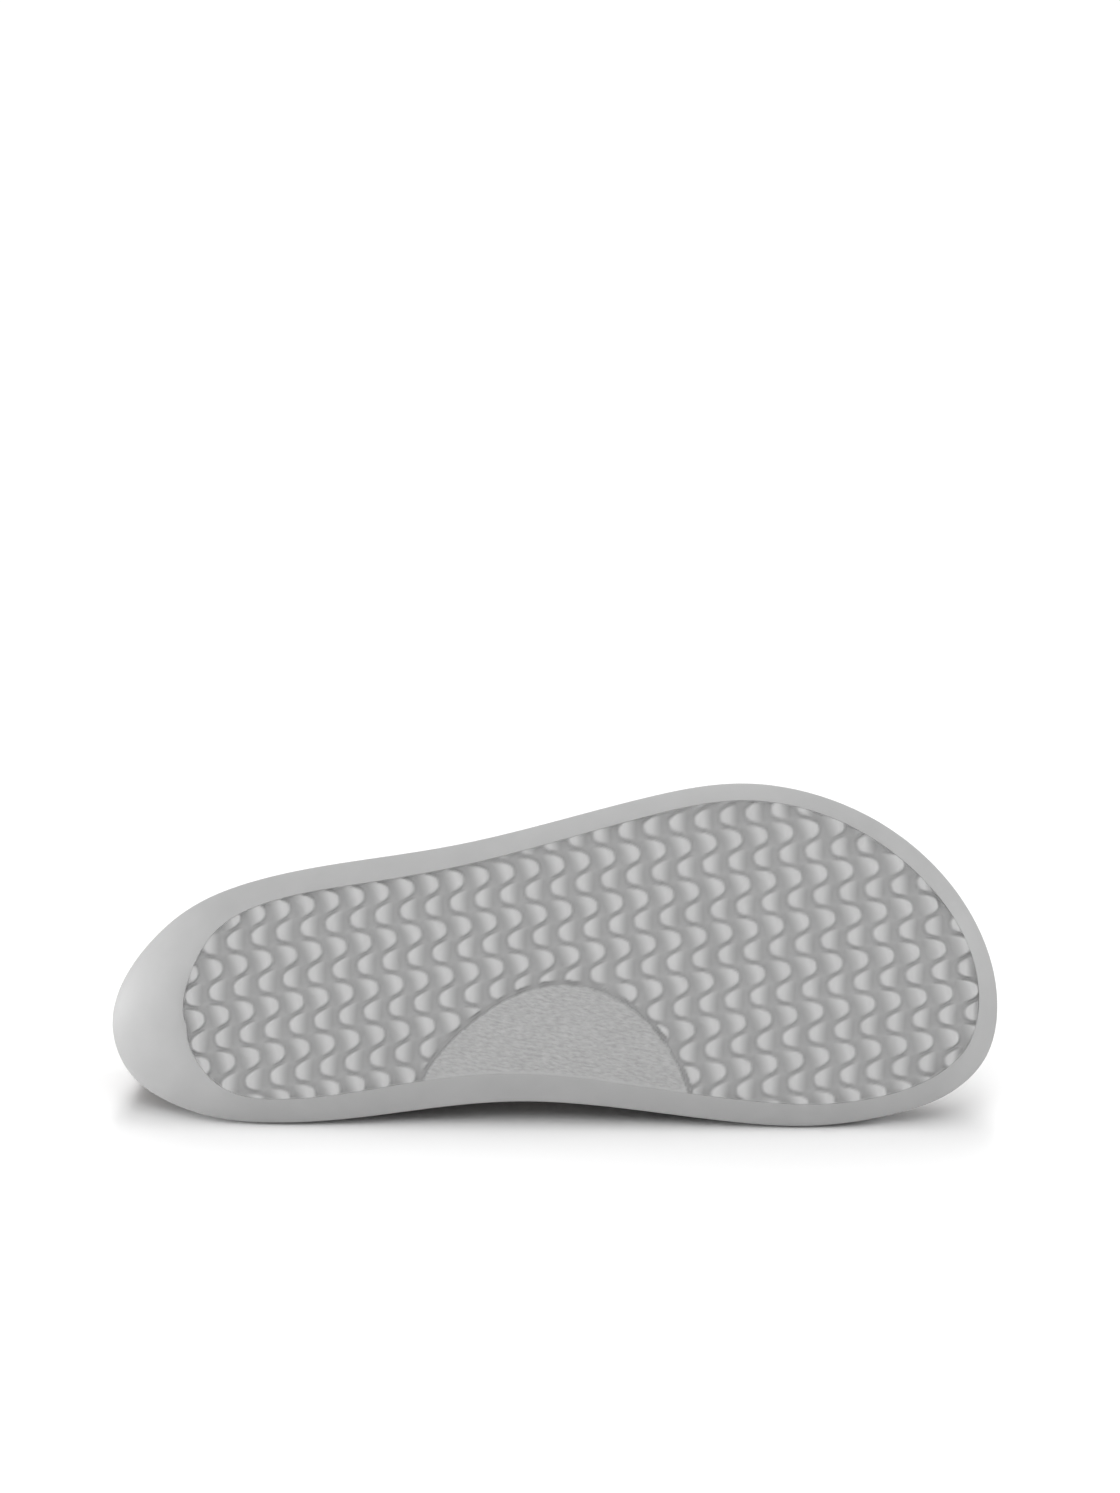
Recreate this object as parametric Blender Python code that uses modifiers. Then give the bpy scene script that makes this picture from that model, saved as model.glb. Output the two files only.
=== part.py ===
"""A right leather slip-on shoe on a moulded rubber cup sole, lying on its medial side.

The shoe is worked out in millimetres in its own frame: along runs from the heel to
the toe, across from the medial to the lateral side, and up from the tread to the
collar. A parent empty then lays it on the floor, on the edge of its sole and the
side of its upper.
"""

import bmesh
import bpy
import numpy as np
from mathutils import Matrix

MM = 0.001

# Driving sizes in millimetres.
LENGTH = 260.0
BALL_WIDTH = 100.0
HEEL_HEIGHT = 60.0
INSTEP_HEIGHT = 61.5
TOE_SPRING = 4.0
SPRING_START = 195.0
SOLE_THICKNESS = 5.0
SOLE_WALL = 2.7
LEATHER = 1.8
INSOLE_THICKNESS = 3.0
INSOLE_EDGE = 0.7
GAP = 0.35

# Shape of the sole's edge.
RIM_ROUNDNESS = 1.25
WALL_DRAFT = 0.06
EDGE_ROUND = 0.8

# Arch panel: a shallow half disc in the tread, its middle on the medial edge.
PANEL_CENTRE = 130.5
PANEL_RADIUS = 41.2
PANEL_DEPTH = 0.8
PANEL_COLUMNS = 22

# Tread: wavy grooves side by side across the foot. One crossing of a groove, where it
# swings from the lateral to the medial row, is at TREAD_CROSSING.
TREAD_CROSSING = (160.5, 77.0)
TREAD_TURN = 8.6
TREAD_PITCH = 7.62
TREAD_ROW = 6.75
TREAD_LINES = 18
TREAD_ROWS = 14
TREAD_MARGIN = 1.0
WAVE_REACH = 2.45
WAVE_FLAT = (0.2, 0.8)
GROOVE_WIDTH = 1.3
GROOVE_DEPTH = 1.3
CUT_CLEARANCE = 1.0

# How deep the flat spots are where the rubber and the leather lie on the floor, and how many
# times the three points that it lies on are looked for.
REST_FLAT = 0.35
REST_TRIES = 20

# Mesh density.
STEPS_AROUND = 72
RIM_STEPS = 5
CUP_STEPS = 4
LEVEL_SHARE = 0.25
UPPER_STEPS = 8
SHARP_ANGLE = 40.0

# Colours in linear light, with the roughness of each surface.
RUBBER = ((0.40, 0.40, 0.397), 0.55)
FACE_LEATHER = ((0.047, 0.030, 0.022), 0.45)
INSOLE_LEATHER = ((0.42, 0.30, 0.20), 0.7)

# The outline of the sole, heel to toe along the lateral side and back along the medial
# side. along is a share of LENGTH and across a share of BALL_WIDTH. band is the width of
# the smooth rim outside the tread, rise is how far that rim climbs to the widest level,
# and wall_top is the height of the sole's side, all in millimetres.
SOLE_COLUMNS = ("along", "across", "band", "rise", "wall_top")
SOLE_ROWS = {
    "heel_back": (0.000, 0.273, 22.5, 15.0, 24.0),
    "heel_lateral_back": (0.041, 0.518, 15.1, 11.0, 21.0),
    "heel_lateral": (0.095, 0.636, 9.6, 6.0, 17.0),
    "heel_lateral_front": (0.167, 0.711, 7.0, 4.8, 13.5),
    "waist_lateral": (0.276, 0.768, 6.7, 4.5, 12.0),
    "shank_lateral": (0.384, 0.814, 6.2, 4.5, 12.0),
    "ball_lateral_back": (0.602, 0.958, 5.3, 4.5, 12.0),
    "ball_lateral": (0.710, 1.001, 4.9, 4.5, 12.0),
    "little_toe": (0.800, 0.964, 4.8, 4.5, 12.0),
    "toe_lateral_back": (0.873, 0.877, 5.1, 4.8, 12.0),
    "toe_lateral": (0.936, 0.740, 5.2, 5.2, 12.5),
    "toe_front_lateral": (0.981, 0.564, 5.0, 5.6, 13.0),
    "toe_tip": (1.000, 0.368, 5.7, 6.0, 13.5),
    "big_toe_front": (0.987, 0.200, 6.6, 5.6, 13.0),
    "big_toe": (0.945, 0.094, 6.8, 5.0, 12.5),
    "big_toe_back": (0.882, 0.034, 6.1, 4.6, 12.0),
    "ball_medial": (0.792, 0.000, 6.4, 4.5, 12.0),
    "ball_medial_back": (0.701, 0.010, 6.8, 4.5, 12.0),
    "arch_front": (0.583, 0.046, 7.2, 4.5, 12.0),
    "arch": (0.457, 0.066, 8.3, 4.5, 12.0),
    "arch_back": (0.348, 0.040, 8.3, 4.5, 12.0),
    "heel_medial_front": (0.258, 0.010, 7.4, 4.5, 12.0),
    "heel_medial": (0.185, 0.000, 7.0, 4.8, 12.5),
    "heel_medial_back": (0.113, 0.016, 9.3, 6.5, 16.0),
    "heel_back_medial": (0.059, 0.064, 16.1, 10.0, 20.0),
    "heel_corner_medial": (0.023, 0.130, 22.0, 13.0, 22.5),
}

# The upper's sections, each from the sole's edge up to the topline. along, across and
# height place the topline: shares of LENGTH, of BALL_WIDTH, and of a height that goes from
# HEEL_HEIGHT at the back to INSTEP_HEIGHT at the throat. shoulder is how far the wall first
# rises straight, in millimetres. crown and drop set how the wall comes to the topline: a
# share of the way back to the sole, and millimetres below it.
UPPER_COLUMNS = ("along", "across", "height", "shoulder", "crown", "drop")
UPPER_ROWS = {
    "heel_back": (0.030, 0.320, 0.998, 14.0, 0.05, 14.0),
    "heel_lateral": (0.125, 0.590, 0.928, 14.0, 0.12, 15.0),
    "waist_lateral": (0.292, 0.645, 0.800, 15.0, 0.20, 13.0),
    "shank_lateral": (0.380, 0.650, 0.818, 16.0, 0.26, 13.0),
    "ball_lateral_back": (0.530, 0.605, 0.918, 18.0, 0.40, 12.0),
    "ball_lateral": (0.572, 0.565, 0.966, 18.0, 0.46, 12.0),
    "toe_lateral_back": (0.598, 0.510, 0.988, 18.0, 0.52, 17.0),
    "toe_lateral": (0.607, 0.465, 0.996, 19.0, 0.56, 20.0),
    "toe_tip": (0.610, 0.405, 1.000, 20.0, 0.58, 22.0),
    "big_toe": (0.605, 0.345, 0.998, 21.0, 0.54, 19.0),
    "ball_medial": (0.580, 0.285, 0.986, 24.0, 0.42, 12.0),
    "arch_front": (0.485, 0.210, 0.930, 20.0, 0.30, 12.0),
    "arch": (0.378, 0.160, 0.848, 17.0, 0.20, 13.0),
    "heel_medial_front": (0.255, 0.115, 0.811, 15.0, 0.15, 14.0),
    "heel_medial_back": (0.120, 0.120, 0.928, 14.0, 0.12, 15.0),
    "heel_corner_medial": (0.046, 0.220, 0.987, 14.0, 0.08, 14.0),
}

# The line along the middle of the foot that the tread and floor close onto.
SPINE_COLUMNS = ("along", "across")
SPINE_ROWS = {"heel": (48.0, 36.0), "waist": (115.0, 46.0), "ball": (195.0, 50.0)}
SPINE_SHARES = (0.55, 0.10)


def column(rows, columns, name):
    """One named column of a table, as an array."""
    return np.array([row[columns.index(name)] for row in rows.values()])


def chord_knots(points):
    """How far round a closed outline each of its points is, as a share of the whole."""
    chords = np.linalg.norm(np.roll(points, -1, axis=0) - points, axis=1)
    return np.concatenate([[0.0], np.cumsum(chords)[:-1]]) / chords.sum()


def closed_spline(knots, values, at):
    """A smooth closed cubic curve through the values, read at the given shares of a turn."""
    count = len(knots)
    step = np.diff(np.append(knots, knots[0] + 1.0))
    system = np.zeros((count, count))
    pull = np.zeros(count)
    for i in range(count):
        after = (i + 1) % count
        system[i, i - 1] += step[i - 1]
        system[i, i] += 2.0 * (step[i - 1] + step[i])
        system[i, after] += step[i]
        pull[i] = (values[after] - values[i]) / step[i] - (values[i] - values[i - 1]) / step[i - 1]
    bend = np.linalg.solve(system, 6.0 * pull)
    i = np.searchsorted(knots, at, side="right") - 1
    after = (i + 1) % count
    b = (at - knots[i]) / step[i]
    a = 1.0 - b
    cubic = (a**3 - a) * bend[i] + (b**3 - b) * bend[after]
    return a * values[i] + b * values[after] + cubic * step[i] ** 2 / 6.0


AROUND = np.arange(STEPS_AROUND) / STEPS_AROUND
OUTLINE_POINTS = np.stack(
    [
        column(SOLE_ROWS, SOLE_COLUMNS, "along") * LENGTH,
        column(SOLE_ROWS, SOLE_COLUMNS, "across") * BALL_WIDTH,
    ],
    axis=1,
)
SOLE_KNOTS = chord_knots(OUTLINE_POINTS)
UPPER_KNOTS = SOLE_KNOTS[[list(SOLE_ROWS).index(name) for name in UPPER_ROWS]]


def sole_column(name, scale=1.0):
    return closed_spline(SOLE_KNOTS, column(SOLE_ROWS, SOLE_COLUMNS, name) * scale, AROUND)


def upper_column(name, scale=1.0):
    return closed_spline(UPPER_KNOTS, column(UPPER_ROWS, UPPER_COLUMNS, name) * scale, AROUND)


def heel_to_instep():
    """A height for each of the upper's rows, from the heel's at the back to the instep's at the throat."""
    along = column(UPPER_ROWS, UPPER_COLUMNS, "along")
    return HEEL_HEIGHT + (INSTEP_HEIGHT - HEEL_HEIGHT) * along / along.max()


OUTLINE = np.stack([sole_column("along", LENGTH), sole_column("across", BALL_WIDTH)], axis=1)
BAND = sole_column("band")
RISE = sole_column("rise")
WALL_TOP = sole_column("wall_top")


def inward_normals():
    tangent = np.roll(OUTLINE, -1, axis=0) - np.roll(OUTLINE, 1, axis=0)
    normal = np.stack([tangent[:, 1], -tangent[:, 0]], axis=1)
    return normal / np.linalg.norm(normal, axis=1, keepdims=True)


INWARD = inward_normals()


def ground(along):
    """Height of the tread above the floor: flat, then the toe spring."""
    past = np.clip((along - SPRING_START) / (LENGTH - SPRING_START), 0.0, None)
    return TOE_SPRING * past**2


def ring(inset, height):
    """A closed ring this far inside the outline and this high above the tread."""
    plan = OUTLINE + INWARD * np.broadcast_to(inset, STEPS_AROUND)[:, None]
    return np.column_stack([plan, ground(plan[:, 0]) + height])


def rim_inset(height):
    """How far the sole's outer face lies inside the outline at a height above the tread."""
    below = np.clip(1.0 - height / RISE, 0.0, 1.0)
    curve = BAND * (1.0 - (1.0 - below**RIM_ROUNDNESS) ** (1.0 / RIM_ROUNDNESS))
    return curve + WALL_DRAFT * np.clip(height - RISE, 0.0, None)


def cup_inset(height):
    """The sole's inner face at a height: the outer face and a wall that thickens below."""
    below = np.clip(1.0 - height / RISE, 0.0, 1.0)
    return rim_inset(height) + SOLE_WALL * (1.0 + below)


def cup_levels():
    """Heights up the inside of the cup: the floor, up the slope to the widest level, the top."""
    widest = np.maximum(RISE, SOLE_THICKNESS + LEVEL_SHARE * (WALL_TOP - SOLE_THICKNESS))
    slope = [SOLE_THICKNESS + (widest - SOLE_THICKNESS) * i / CUP_STEPS for i in range(CUP_STEPS)]
    return slope + [widest, (widest + WALL_TOP) / 2.0, WALL_TOP]


def sideways(thickness, height):
    """A thickness square to the cup's inner face, measured level instead."""
    slope = cup_inset(height) - cup_inset(height + 1.0)
    return thickness * np.sqrt(1.0 + slope**2)


def leather_inset(height):
    """The upper's outer face at a height inside the cup."""
    return cup_inset(height) + sideways(GAP, height)


def insole_inset(height):
    """The insole's edge at a height inside the upper."""
    return leather_inset(height) + sideways(LEATHER + GAP, height)


def toward_spine(edge, share):
    """A ring drawn in from an edge ring towards the spine of the foot."""
    spine_along = column(SPINE_ROWS, SPINE_COLUMNS, "along")
    spine_across = column(SPINE_ROWS, SPINE_COLUMNS, "across")
    along = np.clip(edge[:, 0], spine_along[0], spine_along[-1])
    spine = np.stack([along, np.interp(along, spine_along, spine_across)], axis=1)
    plan = share * edge[:, :2] + (1.0 - share) * spine
    lift = edge[:, 2] - ground(edge[:, 0])
    return np.column_stack([plan, ground(plan[:, 0]) + lift])


def outsole_rings():
    """Rings over the whole sole: tread, rim, outer wall, top edge, inner wall and floor."""
    tread = ring(BAND, 0.0)
    rings = [toward_spine(tread, share) for share in reversed(SPINE_SHARES)] + [tread]
    for turn in np.linspace(0.0, np.pi / 2.0, RIM_STEPS + 1)[1:]:
        power = 2.0 / RIM_ROUNDNESS
        rings.append(ring(BAND * (1.0 - np.sin(turn) ** power), RISE * (1.0 - np.cos(turn) ** power)))
    rings.append(ring(rim_inset(WALL_TOP - EDGE_ROUND), WALL_TOP - EDGE_ROUND))
    rings.append(ring(rim_inset(WALL_TOP) + EDGE_ROUND, WALL_TOP))
    rings += [ring(cup_inset(height), height) for height in reversed(cup_levels())]
    floor = rings[-1]
    return rings + [toward_spine(floor, share) for share in SPINE_SHARES]


def upper_rings():
    """Rings of the upper's outer face: inside the sole's wall, then up to the topline."""
    heights = [np.maximum(height, SOLE_THICKNESS + GAP) for height in cup_levels()[:-1]]
    rings = [ring(leather_inset(height), height) for height in heights]
    edge = ring(leather_inset(WALL_TOP), WALL_TOP)
    top = np.stack(
        [
            upper_column("along", LENGTH),
            upper_column("across", BALL_WIDTH),
            upper_column("height", heel_to_instep()),
        ],
        axis=1,
    )
    up = np.array([0.0, 0.0, 1.0])
    first = edge + upper_column("shoulder")[:, None] * up
    last = top + upper_column("crown")[:, None] * (edge - top) * [1.0, 1.0, 0.0]
    last = last - upper_column("drop")[:, None] * up
    for t in np.linspace(0.0, 1.0, UPPER_STEPS + 1):
        s = 1.0 - t
        rings.append(s**3 * edge + 3 * s * s * t * first + 3 * s * t * t * last + t**3 * top)
    return rings


def insole_rings():
    """Rings of the flat insole, from the middle of its underside to the middle of its top."""
    low = SOLE_THICKNESS + GAP
    high = low + INSOLE_THICKNESS
    under = ring(insole_inset(low), low)
    over = ring(insole_inset(high) + INSOLE_EDGE, high)
    rings = [toward_spine(under, share) for share in reversed(SPINE_SHARES)]
    rings += [under, over]
    return rings + [toward_spine(over, share) for share in SPINE_SHARES]


def right_shoe(rings):
    """The rings with the lateral side on the right of the toe, as on a right shoe."""
    return [points * [1.0, -1.0, 1.0] for points in rings]


def resting_frame(sole_points, upper_points):
    """Rotation and origin that lay the shoe on two points of its sole and one of its upper."""
    heel_part = sole_points[sole_points[:, 0] < LENGTH / 2.0]
    toe_part = sole_points[sole_points[:, 0] >= LENGTH / 2.0]
    floor_normal = np.array([0.0, -1.0, 0.0])
    for _ in range(REST_TRIES):
        heel, toe, side = (
            points[np.argmin(points @ floor_normal)] for points in (heel_part, toe_part, upper_points)
        )
        floor_normal = np.cross(toe - heel, side - heel)
        floor_normal = floor_normal / np.linalg.norm(floor_normal)
    forward = np.array([1.0, 0.0, 0.0]) - floor_normal[0] * floor_normal
    forward = forward / np.linalg.norm(forward)
    rotation = np.stack([forward, np.cross(floor_normal, forward), floor_normal])
    laid = np.concatenate([sole_points, upper_points]) @ rotation.T
    middle = (laid.min(axis=0) + laid.max(axis=0)) / 2.0
    origin = np.array([middle[0], middle[1], laid[:, 2].min() + REST_FLAT])
    return rotation, origin


def material(name, colour, roughness):
    made = bpy.data.materials.new(name)
    made.use_nodes = True
    shader = made.node_tree.nodes["Principled BSDF"]
    shader.inputs["Base Color"].default_value = (*colour, 1.0)
    shader.inputs["Roughness"].default_value = roughness
    shader.inputs["Metallic"].default_value = 0.0
    return made


def lofted_object(name, rings, closed_ends, finish, collection, parent):
    """A mesh through closed rings, with its first and last ring filled where asked."""
    count = len(rings[0])
    points = np.concatenate(rings) * MM
    faces = []
    for level in range(len(rings) - 1):
        for i in range(count):
            after = (i + 1) % count
            low, high = level * count, (level + 1) * count
            faces.append((low + i, low + after, high + after, high + i))
    if closed_ends:
        faces.append(tuple(reversed(range(count))))
        faces.append(tuple(range((len(rings) - 1) * count, len(rings) * count)))
    mesh = bpy.data.meshes.new(name)
    mesh.from_pydata(points.tolist(), [], faces)
    mesh.materials.append(finish)
    mesh.shade_smooth()
    mesh.set_sharp_from_angle(angle=np.radians(SHARP_ANGLE))
    made = bpy.data.objects.new(name, mesh)
    made.parent = parent
    collection.objects.link(made)
    return made


def inside_ring(points, edge):
    """Which points of the plan lie inside a closed ring."""
    here, there = edge[:, :2], np.roll(edge[:, :2], -1, axis=0)
    spans = (here[:, 1] > points[:, 1:2]) != (there[:, 1] > points[:, 1:2])
    run = there - here
    share = (points[:, 1:2] - here[:, 1]) / np.where(run[:, 1] == 0.0, 1.0, run[:, 1])
    crossings = spans & (points[:, 0:1] < here[:, 0] + share * run[:, 0])
    return crossings.sum(axis=1) % 2 == 1


def prism(left, right, depth):
    """Points and faces of a bar under the tread between two edges, cutting to a depth."""
    count = len(left)
    stations = []
    for edge, side in ((left, -CUT_CLEARANCE), (right, -CUT_CLEARANCE), (right, depth), (left, depth)):
        stations.append(np.column_stack([edge, ground(edge[:, 0]) + side]))
    points = np.stack(stations, axis=1).reshape(-1, 3)
    faces = [(0, 1, 2, 3), tuple(4 * (count - 1) + corner for corner in (3, 2, 1, 0))]
    for i in range(count - 1):
        for corner in range(4):
            after = (corner + 1) % 4
            faces.append((4 * i + corner, 4 * i + 4 + corner, 4 * i + 4 + after, 4 * i + after))
    return points, faces


def groove_edges():
    """Both edges of each wavy groove, in runs that stay on the tread and off the arch panel."""
    turn = np.radians(TREAD_TURN)
    ahead = np.array([np.cos(turn), np.sin(turn)])
    sideways_step = np.array([np.sin(turn), -np.cos(turn)])
    rows = np.repeat(np.arange(-TREAD_ROWS // 2, TREAD_ROWS), len(WAVE_FLAT))
    flats = np.tile(WAVE_FLAT, len(rows) // len(WAVE_FLAT))
    swing = np.where(rows % 2 == 0, -WAVE_REACH, WAVE_REACH)
    field = ring(BAND + TREAD_MARGIN, 0.0)
    runs = []
    for line in range(-TREAD_LINES, TREAD_LINES):
        middle = np.array(TREAD_CROSSING) + np.outer(line * TREAD_PITCH + swing, ahead)
        middle = middle + np.outer((rows + flats) * TREAD_ROW, sideways_step)
        from_panel = np.linalg.norm(middle - [PANEL_CENTRE, 0.0], axis=1)
        on_tread = inside_ring(middle, field) & (from_panel > PANEL_RADIUS + 2.0 * TREAD_MARGIN)
        starts = np.flatnonzero(np.diff(np.concatenate([[0], on_tread, [0]])))
        for first, last in starts.reshape(-1, 2):
            if last - first > len(WAVE_FLAT):
                half = ahead * GROOVE_WIDTH / 2.0
                runs.append((middle[first:last] - half, middle[first:last] + half))
    return runs


def panel_edges():
    """The panel's arc and, below it, the inner line of the smooth rim."""
    rim = ring(BAND, 0.0)
    medial = rim[(rim[:, 1] < PANEL_RADIUS / 2.0) & (np.abs(rim[:, 0] - PANEL_CENTRE) < PANEL_RADIUS * 2.0)]
    medial = medial[np.argsort(medial[:, 0])]
    reach = np.sqrt(PANEL_RADIUS**2 - np.interp(PANEL_CENTRE, medial[:, 0], medial[:, 1]) ** 2)
    along = PANEL_CENTRE - reach * np.cos(np.linspace(0.0, np.pi, PANEL_COLUMNS))
    low = np.interp(along, medial[:, 0], medial[:, 1])
    arc = np.sqrt(np.clip(PANEL_RADIUS**2 - (along - PANEL_CENTRE) ** 2, 0.0, None))
    kept = arc - low > TREAD_MARGIN / 2.0
    return np.column_stack([along, arc])[kept], np.column_stack([along, low])[kept]


def tread_cutter(name, edges, depth, collection, parent):
    """A hidden cutter made of one bar for each pair of edges."""
    points, faces = [], []
    for left, right in edges:
        bar_points, bar_faces = prism(left, right, depth)
        faces += [tuple(corner + len(points) for corner in face) for face in bar_faces]
        points += (bar_points * [1.0, -1.0, 1.0] * MM).tolist()
    mesh = bpy.data.meshes.new(name)
    mesh.from_pydata(points, [], faces)
    outward = bmesh.new()
    outward.from_mesh(mesh)
    bmesh.ops.recalc_face_normals(outward, faces=outward.faces)
    outward.to_mesh(mesh)
    outward.free()
    cutter = bpy.data.objects.new(name, mesh)
    cutter.parent = parent
    cutter.hide_render = True
    cutter.display_type = "WIRE"
    collection.objects.link(cutter)
    return cutter


def floor_cutter(collection):
    """A block under the floor that leaves flat spots where the shoe lies on it."""
    bpy.ops.mesh.primitive_cube_add(size=2.0 * LENGTH * MM, location=(0.0, 0.0, -LENGTH * MM))
    block = bpy.context.object
    block.name = "floor_cutter"
    for old in list(block.users_collection):
        old.objects.unlink(block)
    block.hide_render = True
    block.display_type = "WIRE"
    collection.objects.link(block)
    return block


def cut(target, cutter):
    made = target.modifiers.new(cutter.name, "BOOLEAN")
    made.operation = "DIFFERENCE"
    made.solver = "EXACT"
    made.object = cutter


def new_collection(name):
    made = bpy.data.collections.new(name)
    bpy.context.scene.collection.children.link(made)
    return made


def main():
    for old in list(bpy.data.objects):
        bpy.data.objects.remove(old)
    shoe = new_collection("leather_shoe")
    cutters = new_collection("cutters")

    sole_shape = right_shoe(outsole_rings())
    upper_shape = right_shoe(upper_rings())
    rotation, origin = resting_frame(np.concatenate(sole_shape), np.concatenate(upper_shape))

    laid = bpy.data.objects.new("shoe_laid_on_side", None)
    laid.matrix_world = Matrix.Translation((-origin * MM).tolist()) @ Matrix(rotation.tolist()).to_4x4()
    shoe.objects.link(laid)

    rubber = material("moulded_rubber", *RUBBER)
    leather = material("smooth_leather", *FACE_LEATHER)
    footbed = material("insole_leather", *INSOLE_LEATHER)

    outsole = lofted_object("outsole", sole_shape, True, rubber, shoe, laid)
    cut(outsole, tread_cutter("arch_panel_cutter", [panel_edges()], PANEL_DEPTH, cutters, laid))
    cut(outsole, tread_cutter("tread_groove_cutter", groove_edges(), GROOVE_DEPTH, cutters, laid))
    floor = floor_cutter(cutters)
    cut(outsole, floor)
    lofted_object("insole", right_shoe(insole_rings()), True, footbed, shoe, laid)
    upper = lofted_object("upper", upper_shape, False, leather, shoe, laid)
    wall = upper.modifiers.new("leather_thickness", "SOLIDIFY")
    wall.thickness = LEATHER * MM
    wall.offset = -1.0
    wall.use_even_offset = True
    wall.use_quality_normals = True
    cut(upper, floor)


main()
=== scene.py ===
import bpy
import numpy as np
from mathutils import Matrix, Vector


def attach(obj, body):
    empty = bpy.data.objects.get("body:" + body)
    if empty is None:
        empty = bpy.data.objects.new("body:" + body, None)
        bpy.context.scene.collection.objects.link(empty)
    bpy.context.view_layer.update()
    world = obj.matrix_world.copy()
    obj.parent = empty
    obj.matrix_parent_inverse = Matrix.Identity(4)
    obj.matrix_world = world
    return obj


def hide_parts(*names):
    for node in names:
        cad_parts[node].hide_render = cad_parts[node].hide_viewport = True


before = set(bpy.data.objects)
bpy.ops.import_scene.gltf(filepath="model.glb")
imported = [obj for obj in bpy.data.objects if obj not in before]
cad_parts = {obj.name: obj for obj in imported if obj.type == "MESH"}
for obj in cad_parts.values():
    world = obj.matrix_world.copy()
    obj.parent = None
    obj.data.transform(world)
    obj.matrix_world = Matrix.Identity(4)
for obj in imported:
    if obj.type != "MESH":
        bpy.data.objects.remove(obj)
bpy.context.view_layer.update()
print("shoe: solids loaded")

mm = 0.001

# The shoe is worked out in millimetres: along from heel to toe, across from the arch side
# to the outer side, up from the tread to the collar. shoeLie lays it on its arch side.
shoeLie = dict(lean=13.7759, roll=0.0213, origin=(129.978, 36.521, -2.076))


def shoeAxes():
    # the floor's three directions in the shoe's own frame: lean tips the collar down, roll
    # evens heel and ball
    lean, roll = np.radians(shoeLie["lean"]), np.radians(shoeLie["roll"])
    zAxis = np.array([-np.sin(roll) * np.cos(lean), np.cos(roll) * np.cos(lean), -np.sin(lean)])
    xAxis = np.array([1.0, 0.0, 0.0]) - zAxis[0] * zAxis
    xAxis = xAxis / np.linalg.norm(xAxis)
    return np.stack([xAxis, -np.cross(zAxis, xAxis), zAxis])


def layOnFloor(points):
    # each point along the three floor directions, less the origin, in metres
    return (np.asarray(points) @ shoeAxes().T - shoeLie["origin"]) * mm


def smooth(x):
    # 0 to 1 with level ends
    x = np.clip(x, 0.0, 1.0)
    return x * x * (3.0 - 2.0 * x)


def stepUp(x, width):
    # 0 to 1 over a slope of this width, half way up at 0
    return smooth(x / width + 0.5)


def closedSpline(knots, values, at):
    # closed cubic through the values with matching bends: solve for the bend at each knot, then blend
    count = len(knots)
    step = np.diff(np.append(knots, knots[0] + 1.0))
    rise = (np.roll(values, -1) - values) / step
    here = np.arange(count)
    system = np.zeros((count, count))
    system[here, here - 1] += np.roll(step, 1)
    system[here, here] += 2.0 * (np.roll(step, 1) + step)
    system[here, (here + 1) % count] += step
    bend = np.linalg.solve(system, 6.0 * (rise - np.roll(rise, 1)))
    at = np.mod(at, 1.0)
    i = np.searchsorted(knots, at, side="right") - 1
    j = (i + 1) % count
    b = (at - knots[i]) / step[i]
    a = 1.0 - b
    return a * values[i] + b * values[j] + ((a**3 - a) * bend[i] + (b**3 - b) * bend[j]) * step[i] ** 2 / 6.0


# Sole: its outline as shares of length and ball width, then band (smooth rim outside the
# tread), rise (how far the rim climbs) and wallTop (height of the side), in millimetres.
# The rim's curve has the power bevel where the band is narrow and heelRound where it is wide:
# 1 is a straight bevel, 2 a round. spine is the middle line of the foot, as along and across.
sole = dict(
    length=260.0, ballWidth=100.0, springStart=195.0, spring=4.0,
    floor=5.0, wall=2.7, draft=0.06, edgeRound=0.8,
    bevel=1.08, heelRound=1.25, wideBand=(9.0, 17.0),
    spine=((48.0, 36.0), (115.0, 46.0), (195.0, 50.0)),
    rows=dict(
        heelBack=(0.000, 0.273, 22.5, 15.0, 24.0),
        heelOuterBack=(0.041, 0.518, 15.1, 11.0, 21.0),
        heelOuter=(0.095, 0.636, 9.6, 6.0, 17.0),
        heelOuterFront=(0.167, 0.711, 7.0, 4.8, 13.5),
        waistOuter=(0.276, 0.768, 6.7, 4.5, 12.0),
        shankOuter=(0.384, 0.814, 6.2, 4.5, 12.0),
        ballOuterBack=(0.602, 0.958, 5.3, 4.5, 12.0),
        ballOuter=(0.710, 1.001, 4.9, 4.5, 12.0),
        littleToe=(0.800, 0.964, 4.8, 4.5, 12.0),
        toeOuterBack=(0.873, 0.877, 5.1, 4.8, 12.0),
        toeOuter=(0.936, 0.740, 5.2, 5.2, 12.5),
        toeFrontOuter=(0.981, 0.564, 5.0, 5.6, 13.0),
        toeTip=(1.000, 0.368, 5.7, 6.0, 13.5),
        bigToeFront=(0.987, 0.200, 6.6, 5.6, 13.0),
        bigToe=(0.945, 0.094, 6.8, 5.0, 12.5),
        bigToeBack=(0.882, 0.034, 6.1, 4.6, 12.0),
        ballInner=(0.792, 0.000, 6.4, 4.5, 12.0),
        ballInnerBack=(0.701, 0.010, 6.8, 4.5, 12.0),
        archFront=(0.583, 0.046, 7.2, 4.5, 12.0),
        arch=(0.457, 0.066, 8.3, 4.5, 12.0),
        archBack=(0.348, 0.040, 8.3, 4.5, 12.0),
        heelInnerFront=(0.258, 0.010, 7.4, 4.5, 12.0),
        heelInner=(0.185, 0.000, 7.0, 4.8, 12.5),
        heelInnerBack=(0.113, 0.016, 9.3, 6.5, 16.0),
        heelBackInner=(0.059, 0.064, 16.1, 10.0, 20.0),
        heelCornerInner=(0.023, 0.130, 22.0, 13.0, 22.5),
    ),
)
soleTable = np.array(list(sole["rows"].values()))
soleKeys = soleTable[:, :2] * [sole["length"], sole["ballWidth"]]
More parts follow.
